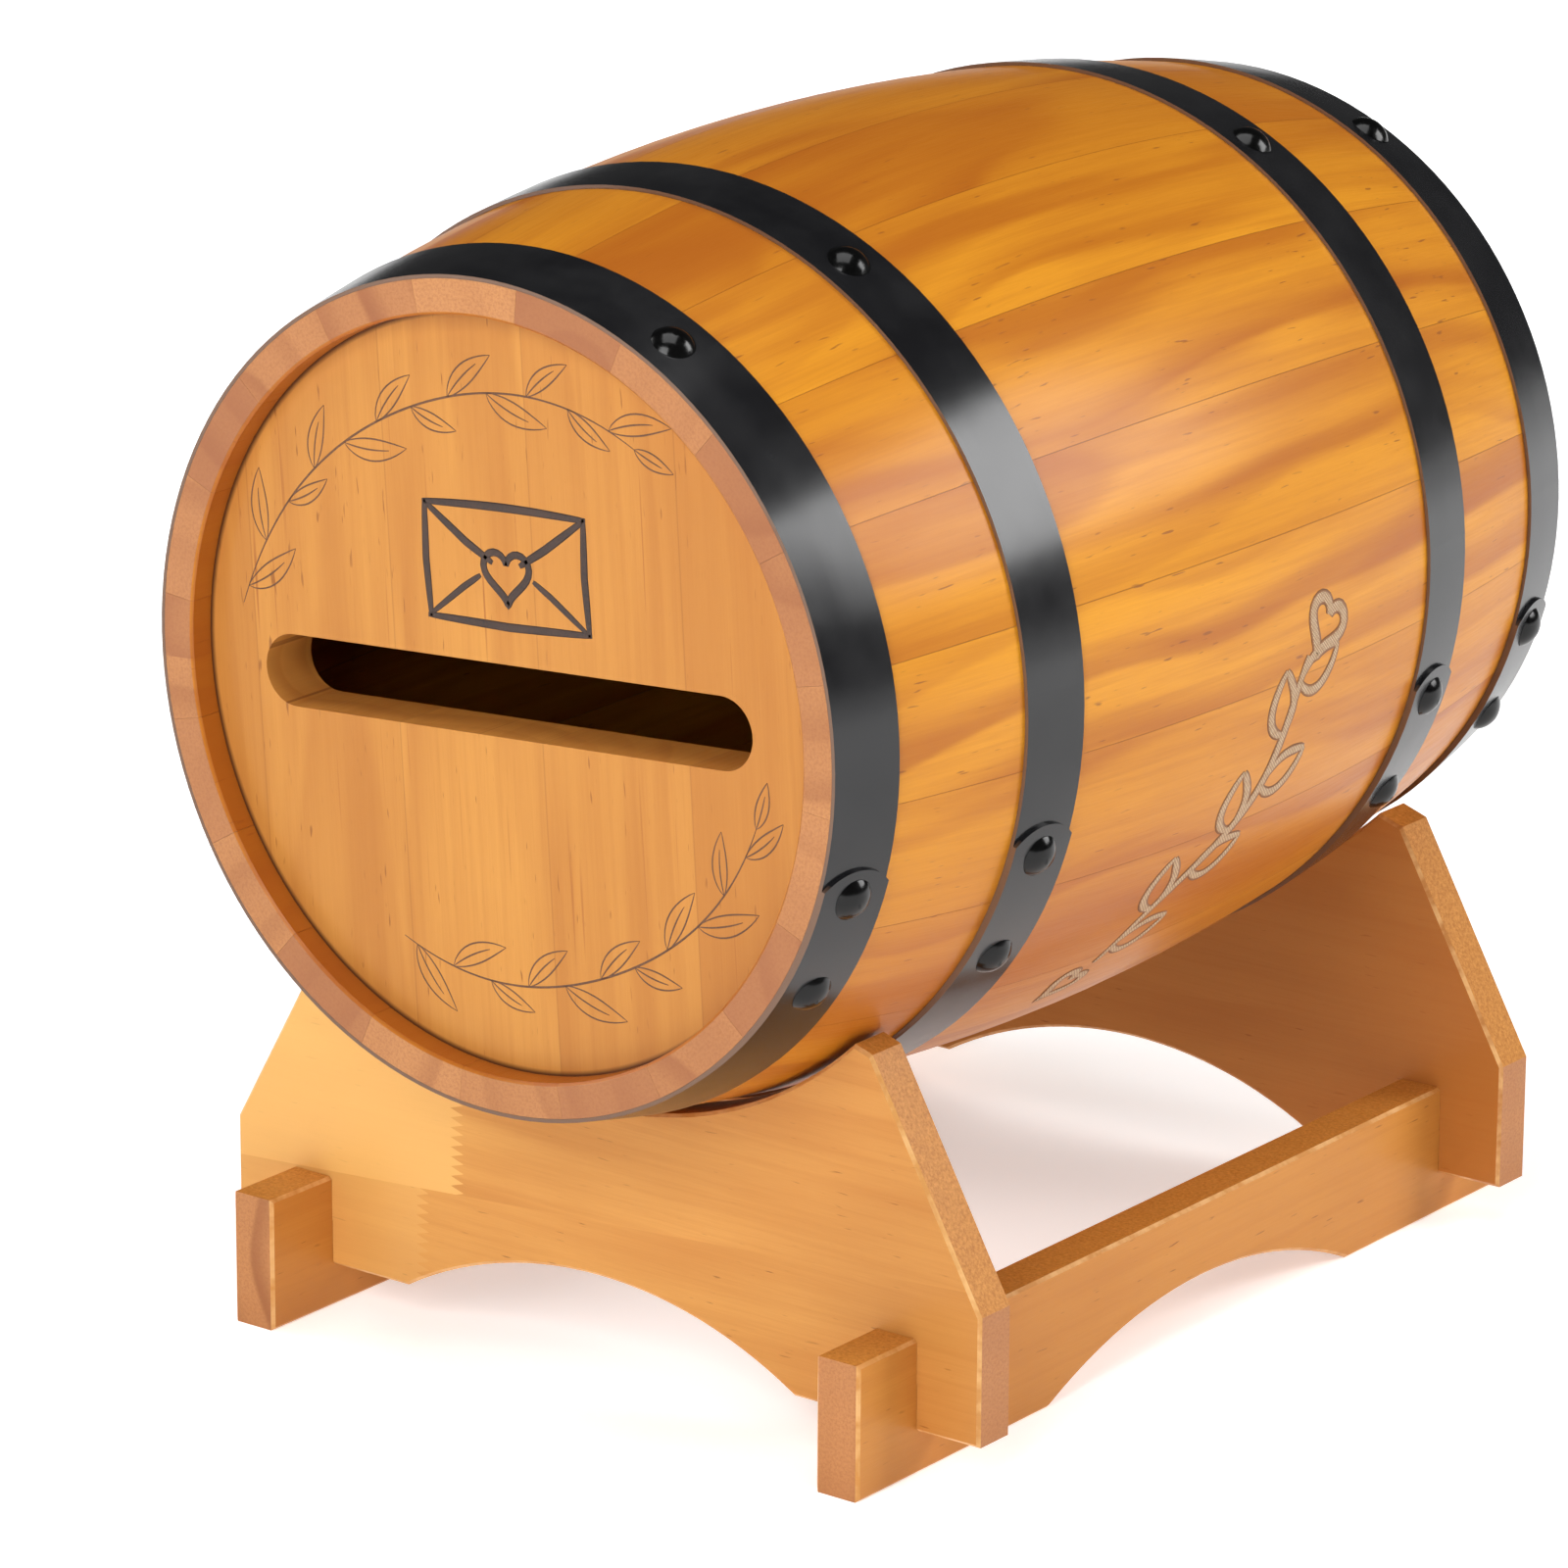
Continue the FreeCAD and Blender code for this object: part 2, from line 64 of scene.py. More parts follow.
RIM_DEPTH = 0.1 * MM         # corners this close to the end belong to the rim's face
GROOVE_MARGIN = 1.0 * MM     # stays clear of the groove that holds the head
END_RADIUS = max(stave_radii(BARREL_START, BARREL_START + RIM_DEPTH))
RIM_BORE = min(stave_radii(BARREL_START, HEAD_FACE - GROOVE_MARGIN))
BULGE = max(stave_radii(BARREL_START, BARREL_END)) - END_RADIUS
CURVE_RADIUS = (HALF_LENGTH ** 2 + BULGE ** 2) / (2 * BULGE)
CURVE_CENTRE = END_RADIUS + BULGE - CURVE_RADIUS
MID_RADIUS = END_RADIUS + BULGE


# ---- Node graphs ----
class Graph:
    """A material's node tree, with one short method for each kind of node."""

    def __init__(self, name):
        self.material = bpy.data.materials.new(name)
        self.material.use_nodes = True
        self.tree = self.material.node_tree
        self.tree.nodes.clear()
        output = self.tree.nodes.new("ShaderNodeOutputMaterial")
        self.shader = self.tree.nodes.new("ShaderNodeBsdfPrincipled")
        self.tree.links.new(self.shader.outputs["BSDF"], output.inputs["Surface"])
        place = self.tree.nodes.new("ShaderNodeTexCoord")
        self.position = place.outputs["Object"]
        self.facing = place.outputs["Normal"]

    def put(self, socket, value):
        if isinstance(value, bpy.types.NodeSocket):
            self.tree.links.new(value, socket)
        elif value is not None:
            socket.default_value = value

    def set(self, name, value):
        self.put(self.shader.inputs[name], value)

    def math(self, operation, a, b=None, c=None):
        node = self.tree.nodes.new("ShaderNodeMath")
        node.operation = operation
        for socket, value in zip(node.inputs, (a, b, c)):
            self.put(socket, value)
        return node.outputs[0]

    def add(self, a, b):
        return self.math("ADD", a, b)

    def sub(self, a, b):
        return self.math("SUBTRACT", a, b)

    def mul(self, a, b):
        return self.math("MULTIPLY", a, b)

    def length(self, x, y):
        node = self.tree.nodes.new("ShaderNodeVectorMath")
        node.operation = "LENGTH"
        self.put(node.inputs[0], self.join(x, y, 0.0))
        return node.outputs["Value"]

    def split(self, vector):
        node = self.tree.nodes.new("ShaderNodeSeparateXYZ")
        self.put(node.inputs[0], vector)
        return node.outputs[0], node.outputs[1], node.outputs[2]

    def join(self, x, y, z):
        node = self.tree.nodes.new("ShaderNodeCombineXYZ")
        for socket, value in zip(node.inputs, (x, y, z)):
            self.put(socket, value)
        return node.outputs[0]

    def noise(self, vector, scale=1.0, detail=2.0, roughness=0.5):
        node = self.tree.nodes.new("ShaderNodeTexNoise")
        self.put(node.inputs["Vector"], vector)
        settings = {"Scale": scale, "Detail": detail, "Roughness": roughness}
        for name, value in settings.items():
            node.inputs[name].default_value = value
        return node.outputs["Fac"]

    def stretched(self, scales, parts, detail=2.0, roughness=0.5):
        """Noise over three numbers, each with its own scale."""
        scaled = [self.mul(part, scale) for part, scale in zip(parts, scales)]
        return self.noise(self.join(*scaled), 1.0, detail, roughness)

    def random(self, number, salt):
        """One random value from 0 to 1 for each whole number."""
        node = self.tree.nodes.new("ShaderNodeTexWhiteNoise")
        self.put(node.inputs["Vector"], self.join(number, salt, 0.5))
        return node.outputs["Value"]

    def between(self, number, salt, low, high):
        """One random value between two limits for each whole number."""
        return self.range(self.random(number, salt), 0.0, 1.0, low, high)

    def range(self, value, low, high, to_low=0.0, to_high=1.0, smooth=False):
        """Carries a value from one range over to another, clamped at both ends."""
        node = self.tree.nodes.new("ShaderNodeMapRange")
        node.interpolation_type = "SMOOTHSTEP" if smooth else "LINEAR"
        for socket, v in zip(node.inputs, (value, low, high, to_low, to_high)):
            self.put(socket, v)
        return node.outputs[0]

    def mix(self, factor, a, b):
        node = self.tree.nodes.new("ShaderNodeMix")
        node.data_type = "RGBA"
        for socket in node.inputs:
            if socket.enabled and socket.name in ("Factor", "A", "B"):
                self.put(socket, {"Factor": factor, "A": a, "B": b}[socket.name])
        return next(out for out in node.outputs if out.enabled)

    def bump(self, height, strength, distance):
        node = self.tree.nodes.new("ShaderNodeBump")
        self.put(node.inputs["Height"], height)
        node.inputs["Strength"].default_value = strength
        node.inputs["Distance"].default_value = distance
        self.set("Normal", node.outputs[0])


def colour(r, g, b):
    return (r, g, b, 1.0)


# ---- Colours in linear light: early wood between the rings, late wood in them, stains and darker tones, painted shades, a painted highlight and reflection, metals, marks ----
STAVE_EARLY = colour(0.77, 0.330, 0.020)
STAVE_LATE = colour(0.39, 0.104, 0.008)
# Painted shade in the bore in front of the head.
BORE_PAINTED_SHADE = colour(0.36, 0.095, 0.012)
RIM_STAIN = colour(0.32, 0.115, 0.048)
HEAD_EARLY = colour(0.66, 0.305, 0.064)
HEAD_LATE = colour(0.43, 0.155, 0.030)
RESIN_LINE = colour(0.34, 0.10, 0.022)
# Painted shade round the edge of the head, where it meets the chime.
HEAD_EDGE_SHADE = colour(0.10, 0.03, 0.01)
BOARD_EARLY = colour(0.78, 0.390, 0.100)
RAIL_EARLY = colour(0.67, 0.295, 0.056)
STAND_LATE = colour(0.49, 0.175, 0.033)
LIGHT_BLOCK = colour(0.86, 0.48, 0.145)
BOARD_DARKER = colour(0.37, 0.115, 0.020)
FOOT_DARKER = colour(0.40, 0.135, 0.020)
SAWN_DARK = colour(0.42, 0.150, 0.022)
SAWN_LIGHT = colour(0.66, 0.29, 0.060)
RIM_EARLY = colour(0.53, 0.235, 0.085)
END_EARLY = colour(0.53, 0.230, 0.085)
END_LATE = colour(0.29, 0.098, 0.036)
# Pale eased edges: partly rubbed wear, partly a painted highlight.
PALE_EDGE_WEAR_AND_HIGHLIGHT = colour(0.86, 0.52, 0.22)
PINE_DARK = colour(0.20, 0.062, 0.016)
STEEL_BLACK = colour(0.008, 0.008, 0.009)
STEEL_SMUDGE = colour(0.014, 0.014, 0.015)
# Painted reflection of the wood on the hoops' cut edges.
STEEL_EDGE_REFLECTION = colour(0.16, 0.085, 0.05)
RIVET_BLACK = colour(0.003, 0.003, 0.003)
BRASS = colour(0.60, 0.42, 0.17)
SCREW_BRASS = colour(0.66, 0.50, 0.24)
CHAR_FINE = colour(0.085, 0.038, 0.020)
CHAR_FINE_LIGHT = colour(0.20, 0.085, 0.038)
CHAR_BOLD = colour(0.022, 0.014, 0.012)
CHAR_BOLD_LIGHT = colour(0.085, 0.045, 0.03)
SCORCH = colour(0.23, 0.09, 0.035)
SCORCH_LIGHT = colour(0.36, 0.17, 0.07)
BARE_LIGHT = colour(0.60, 0.44, 0.27)
BARE_DARK = colour(0.50, 0.33, 0.18)
HATCH = colour(0.22, 0.10, 0.045)
FLOOR_GREY = colour(0.90, 0.90, 0.90)
FLOOR_WHITE = colour(0.93, 0.93, 0.93)
WHITE = colour(1.0, 1.0, 1.0)


# ---- Wood ----
SEED_SPREAD = 40.0           # sets the noises of one board far from its neighbour's


class Pine:
    """Masks of lacquered pine, from the place across, in depth and along one board.

    Rings lie about the heart of the tree, which wanders and leans away along the board.
    """

    # Scales of the noises, per metre across and along the grain, and from seed to seed.
    DRIFT = (14.0, 5.0, 1.0)
    SWAY = (5.0, 6.0, 1.0)
    PATCHES = (30.0, 9.0, 1.0)
    LINES = (420.0, 9.0, 1.0)
    FIBRES = (2600.0, 90.0, 1.0)
    SPECKS = (1000.0, 130.0, 1.0)
    CLUSTERS = (60.0, 30.0, 1.0)
    BANDS = (60.0, 5.0, 1.0)
    CLOUD = (22.0, 10.0, 1.0)
    PORES = 1300.0
    # Shares of one ring: late wood starts, is darkest and stops at the ring's end.
    LATE_START = 0.30
    LATE_PEAK = 0.86
    WEAKEST_RING = 0.05
    WEAKEST_PATCH = 0.35
    # How much of the late wood's or the resin's colour each mask brings to a planed face.
    LINE_SHARE = 0.35
    BAND_SHARE = 0.75
    FIBRE_SHARE = 0.16
    CLOUD_SHARE = 0.35
    SPECK_SHARE = 0.75
    TONE_SHARE = 0.28

    def __init__(self, g, across, depth, along, seed, ring, taper, wander):
        self.g = g
        drift = g.sub(g.stretched(self.DRIFT, (across, along, seed), 2.0, 0.55), 0.5)
        sway = g.sub(g.stretched(self.SWAY, (across, along, g.add(seed, 17.0)), 1.0), 0.5)
        heart = g.math("MULTIPLY_ADD", along, taper, depth)
        heart = g.math("MULTIPLY_ADD", drift, wander, heart)
        sideways = g.math("MULTIPLY_ADD", sway, wander, across)
        phase = g.math("DIVIDE", g.length(sideways, heart), ring)
        number = g.math("FLOOR", phase)
        share = g.sub(phase, number)
        rise = g.range(share, self.LATE_START, self.LATE_PEAK, smooth=True)
        fall = g.range(share, self.LATE_PEAK, 1.0, 1.0, 0.0, smooth=True)
        weight = g.between(g.add(number, seed), 2.5, self.WEAKEST_RING, 1.0)
        patches = g.stretched(self.PATCHES, (across, along, seed), 2.0)
        patchy = g.range(patches, 0.3, 0.7, self.WEAKEST_PATCH, 1.0)
        self.late = g.mul(g.mul(g.mul(rise, fall), weight), patchy)
        self.lines = g.stretched(self.LINES, (across, along, seed), 3.0, 0.6)
        self.fibres = g.stretched(self.FIBRES, (across, along, seed), 3.0, 0.65)
        specks = g.stretched(self.SPECKS, (across, along, seed), 1.0, 0.5)
        cluster = g.stretched(self.CLUSTERS, (across, along, g.add(seed, 5.0)), 1.0)
        self.specks = g.mul(g.range(specks, 0.69, 0.78, smooth=True), g.range(cluster, 0.38, 0.54))
        self.bands = g.stretched(self.BANDS, (sideways, along, g.add(seed, 31.0)), 2.0, 0.55)
        self.cloud = g.stretched(self.CLOUD, (across, along, g.add(seed, 9.0)), 2.0, 0.6)

    def body(self, early, late, tone, strength=1.0):
        """Colour of a planed face: rings, faint lines, bands, fibres, clouds, specks and stain."""
        g = self.g
        bands = g.range(self.bands, 0.47, 0.70, 0.0, self.BAND_SHARE * strength, smooth=True)
        look = g.mix(g.mul(self.late, strength), early, late)
        look = g.mix(g.range(self.lines, 0.45, 0.75, 0.0, self.LINE_SHARE), look, late)
        look = g.mix(bands, look, late)
        look = g.mix(g.range(self.fibres, 0.35, 0.75, 0.0, self.FIBRE_SHARE), look, late)
        look = g.mix(g.range(self.cloud, 0.35, 0.75, 0.0, self.CLOUD_SHARE), look, late)
        look = g.mix(g.mul(self.specks, self.SPECK_SHARE), look, PINE_DARK)
        return g.mix(g.mul(tone, self.TONE_SHARE), look, late)

    def end_grain(self, across, up, early, late):
        """Sawn ends: open, speckled and darker, with the rings in section."""
        g = self.g
        speckle = g.noise(g.join(across, up, 0.0), self.PORES, 3.0, 0.7)
        look = g.mix(g.mul(self.late, 0.85), early, late)
        look = g.mix(g.range(speckle, 0.42, 0.70, 0.0, 0.5), look, late)
        return g.mix(g.range(self.cloud, 0.4, 0.7, 0.0, 0.4), look, late)


def lacquer(g, pine, look, roughness, coat):
    """Thin satin lacquer over the wood, with a trace of its fibres, rings and specks."""
    smoother = 0.05
    rougher = 0.12
    ring_dip = -0.3
    speck_dip = -0.4
    fibre_height = 0.4
    relief = 0.4 * MM
    g.set("Base Color", look)
    g.set("Roughness", g.range(pine.fibres, 0.2, 0.8, roughness - smoother, roughness + rougher))
    g.set("Coat Weight", coat)
    g.set("Coat Roughness", 0.20)
    g.set("Specular IOR Level", 0.16)
    height = g.math("MULTIPLY_ADD", pine.late, ring_dip, g.mul(pine.fibres, fibre_height))
    g.bump(g.math("MULTIPLY_ADD", pine.specks, speck_dip, height), 0.16, relief)


def about_axis(g):
    """Right, along and up about the barrel's axis, with the barrel's roll undone."""
    x, y, z = g.split(g.position)
    up = g.sub(z, AXIS_HEIGHT)
    c = math.cos(ROLL)
    s = math.sin(ROLL)
    right = g.math("MULTIPLY_ADD", up, s, g.mul(x, c))
    level = g.math("MULTIPLY_ADD", x, -s, g.mul(up, c))
    return right, y, level


def stave_material():
    """Turned staves: each has its own board's grain, and the rims show end grain."""
    g = Graph("stave_pine")
    right, y, level = about_axis(g)
    angle = g.math("ARCTAN2", level, right)
    step = 2 * math.pi / len(STAVES)
    turn = g.math("DIVIDE", angle, step)
    number = g.math("ROUND", turn)
    seed = g.mul(g.random(number, 3.7), SEED_SPREAD)
    radius = g.length(right, level)
    across = g.mul(g.mul(g.sub(turn, number), step), radius)
    along = g.sub(y, BARREL_MIDDLE)
    shift = g.between(number, 5.5, -0.075, 0.075)
    heart = g.between(number, 8.1, 0.010, 0.045)
    depth = g.sub(g.add(heart, radius), MID_RADIUS)
    pine = Pine(g, g.add(across, shift), depth, along, seed, ring=0.0145, taper=0.06, wander=0.034)

    # Darker over the top and just left of it, with a random tone for each stave; a painted shade darkens
    # the lower flank below the axis.
    tone = g.random(number, 1.9)
    from_top = g.math("ABSOLUTE", g.sub(angle, math.radians(105.0)))
    top_darker = g.range(from_top, 0.3, 1.2, 1.0, 0.0, smooth=True)
    tone_and_painted_shade = g.math("MULTIPLY_ADD", top_darker, 1.5, tone)
    # Painted shade: the lower flank grows darker below the axis.
    tone_and_painted_shade = g.add(tone_and_painted_shade, g.range(level, 10.0 * MM, -80.0 * MM, 0.0, 1.6))
    outside = pine.body(STAVE_EARLY, STAVE_LATE, tone_and_painted_shade)

    # Dark glue lines between the staves.
    from_seam = g.math("ABSOLUTE", g.sub(g.math("ABSOLUTE", g.sub(turn, number)), 0.5))
    outside = g.mix(g.range(from_seam, 0.0, 0.006, 0.45, 0.0), outside, PINE_DARK)

    # A painted shade darkens the bore in front of the head, and the rims show their end grain.
    bore_shade = g.range(radius, RIM_BORE + 0.1 * MM, RIM_BORE + 0.9 * MM, 1.0, 0.0)
    outside = g.mix(g.mul(bore_shade, 0.8), outside, BORE_PAINTED_SHADE)
    rim = pine.end_grain(across, radius, RIM_EARLY, END_LATE)
    rim = g.mix(g.range(tone, 0.3, 1.0, 0.0, 0.70), rim, RIM_STAIN)
    from_middle = g.math("ABSOLUTE", along)
    is_end = g.range(from_middle, HALF_LENGTH - 0.15 * MM, HALF_LENGTH - 0.05 * MM)
    lacquer(g, pine, g.mix(is_end, outside, rim), roughness=0.36, coat=0.18)
    return g.material


def head_material():
    """Glued boards with the grain running up the head; also used for frame, stop ring and door."""
    g = Graph("head_pine")
    right, y, level = about_axis(g)
    board_width = 43.0 * MM
    board_offset = 11.5 * MM
    seam_width = 0.3 * MM
    turn = g.math("DIVIDE", g.add(right, board_offset), board_width)
    number = g.math("ROUND", turn)
    seed = g.mul(g.random(number, 2.2), SEED_SPREAD)
    across = g.mul(g.sub(turn, number), board_width)
    shift = g.between(number, 6.5, -0.05, 0.05)
    heart = g.between(number, 4.1, 0.015, 0.05)
    depth = g.add(heart, g.sub(y, HEAD_FACE))
    pine = Pine(g, g.add(across, shift), depth, level, seed, ring=0.0085, taper=0.04, wander=0.012)
    tone = g.mul(g.random(number, 1.9), 1.9)
    look = pine.body(HEAD_EARLY, HEAD_LATE, tone, strength=0.60)

    # Thin strings of resin, faint seams between the boards, and a painted shade round the head's edge.
    strings = g.stretched((700.0, 14.0, 1.0), (right, level, 3.0), 1.0)
    look = g.mix(g.range(strings, 0.70, 0.80, 0.0, 0.75), look, RESIN_LINE)
    from_seam = g.math("ABSOLUTE", g.sub(g.math("ABSOLUTE", across), board_width / 2))
    look = g.mix(g.range(from_seam, 0.0, seam_width, 0.3, 0.0), look, PINE_DARK)
    # Painted shade: the outer edge of the head darkens towards the chime wall.
    edge_shade = g.range(g.length(right, level), RIM_BORE - 1.4 * MM, RIM_BORE - 0.3 * MM, 0.0, 0.95)
    look = g.mix(edge_shade, look, HEAD_EDGE_SHADE)
    lacquer(g, pine, look, roughness=0.42, coat=0.12)
    return g.material


def stand_material(name, along_x):
    """Stained pine: boards have their grain along X, rails along Y."""
    g = Graph(name)
    x, y, z = g.split(g.position)
    nx, ny = (g.math("ABSOLUTE", n) for n in g.split(g.facing)[:2])
    along, side = (x, y) if along_x else (y, x)
    end_facing, flat_facing = (nx, ny) if along_x else (ny, nx)
    block_tone = 0.0
    seed = 11.0 if along_x else 27.0
    if along_x:
        # Two rows of blocks, finger-jointed end to end and glued along one sloping line.
        glue_height = 41.0 * MM
        glue_slope = 0.07
        row = g.range(g.sub(z, g.mul(x, glue_slope)), glue_height, glue_height + 0.02 * MM)
        joint_x = g.range(row, 0.0, 1.0, -56.0 * MM, -45.0 * MM)
        finger_width = 1.25 * MM
        finger_slope = 3.2
        finger = g.math("PINGPONG", z, finger_width)
        block = g.math("GREATER_THAN", g.math("MULTIPLY_ADD", finger, finger_slope, joint_x), x)
        block_tone = g.mul(block, g.range(row, 0.0, 1.0, 0.6, 1.0))
        seed = g.add(g.mul(row, 7.0), g.math("MULTIPLY_ADD", block, 3.0, seed))
    heart_height = 0.02
    heart_side = 0.06
    pine = Pine(g, g.sub(z, heart_height), g.add(side, heart_side), along, seed,
                ring=0.012, taper=0.03, wander=0.016)
    early = BOARD_EARLY if along_x else RAIL_EARLY
    face = pine.body(early, STAND_LATE, pine.cloud, strength=0.35)
    face = g.mix(g.mul(block_tone, 0.75), face, LIGHT_BLOCK)
    if along_x:
        # The rear board is darker, and both boards grow darker towards one side.
        rear = g.range(y, 0.0, 10.0 * MM, 0.0, 0.50)
        one_side = g.range(x, 35.0 * MM, 110.0 * MM, 0.0, 0.32, smooth=True)
        face = g.mix(g.add(rear, one_side), face, BOARD_DARKER)

    # Edges sawn across the thickness are coarse and open, and the ends of the grain are darker.
    grit = g.noise(g.position, 1100.0, 3.0, 0.75)
    sawn = g.mix(g.range(grit, 0.32, 0.72), SAWN_DARK, SAWN_LIGHT)
    face = g.mix(g.range(flat_facing, 0.3, 0.5, 1.0, 0.0), face, sawn)
    end = pine.end_grain(side, z, END_EARLY, END_LATE)
    face = g.mix(g.range(end_facing, 0.88, 0.97), face, end)

    # The eased edges are pale here and there: partly rubbed wear, partly a painted highlight.
    wear_and_highlight = g.range(g.noise(g.position, 120.0, 3.0, 0.7), 0.40, 0.62, 0.15, 0.75)
    eased = g.mul(g.range(flat_facing, 0.45, 0.60), g.range(flat_facing, 0.80, 0.90, 1.0, 0.0))
    face = g.mix(g.mul(eased, wear_and_highlight), face, PALE_EDGE_WEAR_AND_HIGHLIGHT)

    # Darker towards the feet.
    foot_height = 45.0 * MM
    face = g.mix(g.range(z, foot_height, 0.0, 0.0, 0.22), face, FOOT_DARKER)
    lacquer(g, pine, face, roughness=0.42, coat=0.12)
    return g.material


# ---- Metal ----
def hoop_material():
    """Satin black steel, brushed along the hoop, with a painted reflection of the wood on its cut edges."""
    g = Graph("hoop_black")
    right, y, level = about_axis(g)
    angle = g.math("ARCTAN2", level, right)
    brushed = g.stretched((6.0, 3000.0, 1.0), (angle, y, 0.0), 3.0, 0.6)
    smudge = g.noise(g.position, 45.0, 3.0, 0.6)
    face = g.mix(g.range(smudge, 0.4, 0.7), STEEL_BLACK, STEEL_SMUDGE)
    facing_end = g.math("ABSOLUTE", g.split(g.facing)[1])
    # Painted reflection: the cut edges facing along the axis take the wood's brown.
    g.set("Base Color", g.mix(g.range(facing_end, 0.6, 0.8), face, STEEL_EDGE_REFLECTION))
    sheen = g.range(brushed, 0.3, 0.7, 0.17, 0.20)
    haze = g.range(smudge, 0.4, 0.7, 0.0, 0.05)
    g.set("Roughness", g.add(sheen, haze))
    g.set("Specular IOR Level", 0.42)
    g.bump(brushed, 0.012, 0.1 * MM)
    return g.material


def metal_material(name, base, metallic, roughness, scale, specular=0.5):
    """Small hardware: fine grain and slow, duller patches."""
    dullness = 0.55
    patch_scale = 0.12
    g = Graph(name)
    grain = g.noise(g.position, scale, 3.0, 0.6)
    wear = g.noise(g.position, scale * patch_scale, 2.0, 0.5)
    dull = colour(*(c * dullness for c in base[:3]))
    g.set("Base Color", g.mix(g.range(wear, 0.35, 0.7, 0.0, 0.45), base, dull))
    g.set("Metallic", metallic)
    g.set("Specular IOR Level", specular)
    g.set("Roughness", g.range(grain, 0.3, 0.7, roughness - 0.04, roughness + 0.06))
    g.bump(grain, 0.06, 0.1 * MM)
    return g.material


def paint_nodes():
    """Gives every node of the frame its material."""
    looks = {
        "stave_": stave_material(),
        "head": head_material(),
        "board": stand_material("board_pine", True),
        "rail": stand_material("rail_pine", False),
        "hoop": hoop_material(),
        "rivet": metal_material("rivet_black", RIVET_BLACK, 0.0, 0.17, 900.0, specular=0.30),
        "brass": metal_material("hardware_brass", BRASS, 1.0, 0.30, 1500.0),
        "screw": metal_material("screw_brass", SCREW_BRASS, 1.0, 0.25, 1500.0),
    }
    # The first word found in a node's name decides.
    words = (("rivets", "rivet"), ("hoop_", "hoop"), ("stave_", "stave_"), ("cradle_board", "board"),
             ("rail", "rail"), ("screws", "screw"), ("batten", "head"), ("door_board", "head"),
             ("door_stop", "head"), ("rear_frame", "head"), ("front_head", "head"), ("", "brass"))
    for name, node in NODES.items():
        look = next(look for word, look in words if word in name)
        node.data.materials.clear()
        node.data.materials.append(looks[look])


paint_nodes()


# ---- Engraving: thin strokes lying in the surface ----
class Strokes:
    """Closed flat ribbons gathered in one mesh; each swells and tapers like a pen stroke."""

    SIDES = 6

    def __init__(self, name, surface, lift):
        self.name = name
        self.surface = surface
        self.lift = lift
        self.corners = []
        self.faces = []

    def line(self, points, width, tips=0.35):
        """Ribbon along flat points, full width in the middle and the given share of it at the tips."""
        placed = [self.surface(*p) for p in points]
        count = len(placed)
        first = len(self.corners)
        for i, (spot, normal) in enumerate(placed):
            before = placed[max(i - 1, 0)][0]
            after = placed[min(i + 1, count - 1)][0]
            sideways = (after - before).cross(normal).normalized()
            swell = tips + (1 - tips) * math.sin(math.pi * i / (count - 1)) ** 0.5
            for k in range(self.SIDES):
                turn = 2 * math.pi * k / self.SIDES
                out = sideways * math.cos(turn) * width / 2 * swell
                self.corners.append(spot + out + normal * math.sin(turn) * self.lift)
        for i in range(count - 1):
            for k in range(self.SIDES):
                a = first + i * self.SIDES + k
                b = first + i * self.SIDES + (k + 1) % self.SIDES
                self.faces.append((a, b, b + self.SIDES, a + self.SIDES))
        self.faces.append(tuple(first + k for k in reversed(range(self.SIDES))))
        self.faces.append(tuple(first + (count - 1) * self.SIDES + k for k in range(self.SIDES)))

    def finish(self, material):
        mesh = bpy.data.meshes.new(self.name)
        mesh.from_pydata(self.corners, [], self.faces)
        mesh.materials.append(material)
        for face in mesh.polygons:
            face.use_smooth = True
        piece = bpy.data.objects.new(self.name, mesh)
        bpy.context.scene.collection.objects.link(piece)
        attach(piece, "barrel")


def on_head(x, z):
    """Flat place on the front head, in metres from its middle."""
    return Vector((x, HEAD_FACE, AXIS_HEIGHT + z)), Vector((0, -1, 0))


def on_skin(along, angle):
    """Place on the barrel's outside, at a distance from its middle and an angle about its axis."""
    reach = math.sqrt(CURVE_RADIUS ** 2 - along ** 2)
    radius = CURVE_CENTRE + reach
    slope = Vector((reach / CURVE_RADIUS * math.cos(angle), along / CURVE_RADIUS,
                    reach / CURVE_RADIUS * math.sin(angle)))
    spot = Vector((radius * math.cos(angle), BARREL_MIDDLE + along, AXIS_HEIGHT + radius * math.sin(angle)))
    return spot, slope


LEAF_STEPS = 12
MIDRIB_SHARE = 0.72          # the midrib stops short of the leaf's point
STEM_STEPS = 60


def leaf_shapes(base, heading, length, width, bend):
    """Two sides and a midrib of a pointed leaf, as flat polylines from its base."""
    def place(t, side):
        turn = heading + bend * t
        forward = (math.cos(turn), math.sin(turn))
        out = side * width / 2 * math.sin(math.pi * t ** 0.85) ** 0.9
        return (base[0] + forward[0] * length * t - forward[1] * out,
                base[1] + forward[1] * length * t + forward[0] * out)

    steps = [i / LEAF_STEPS for i in range(LEAF_STEPS + 1)]
    return [[place(t, 1) for t in steps], [place(t, -1) for t in steps],
            [place(t * MIDRIB_SHARE, 0) for t in steps]]


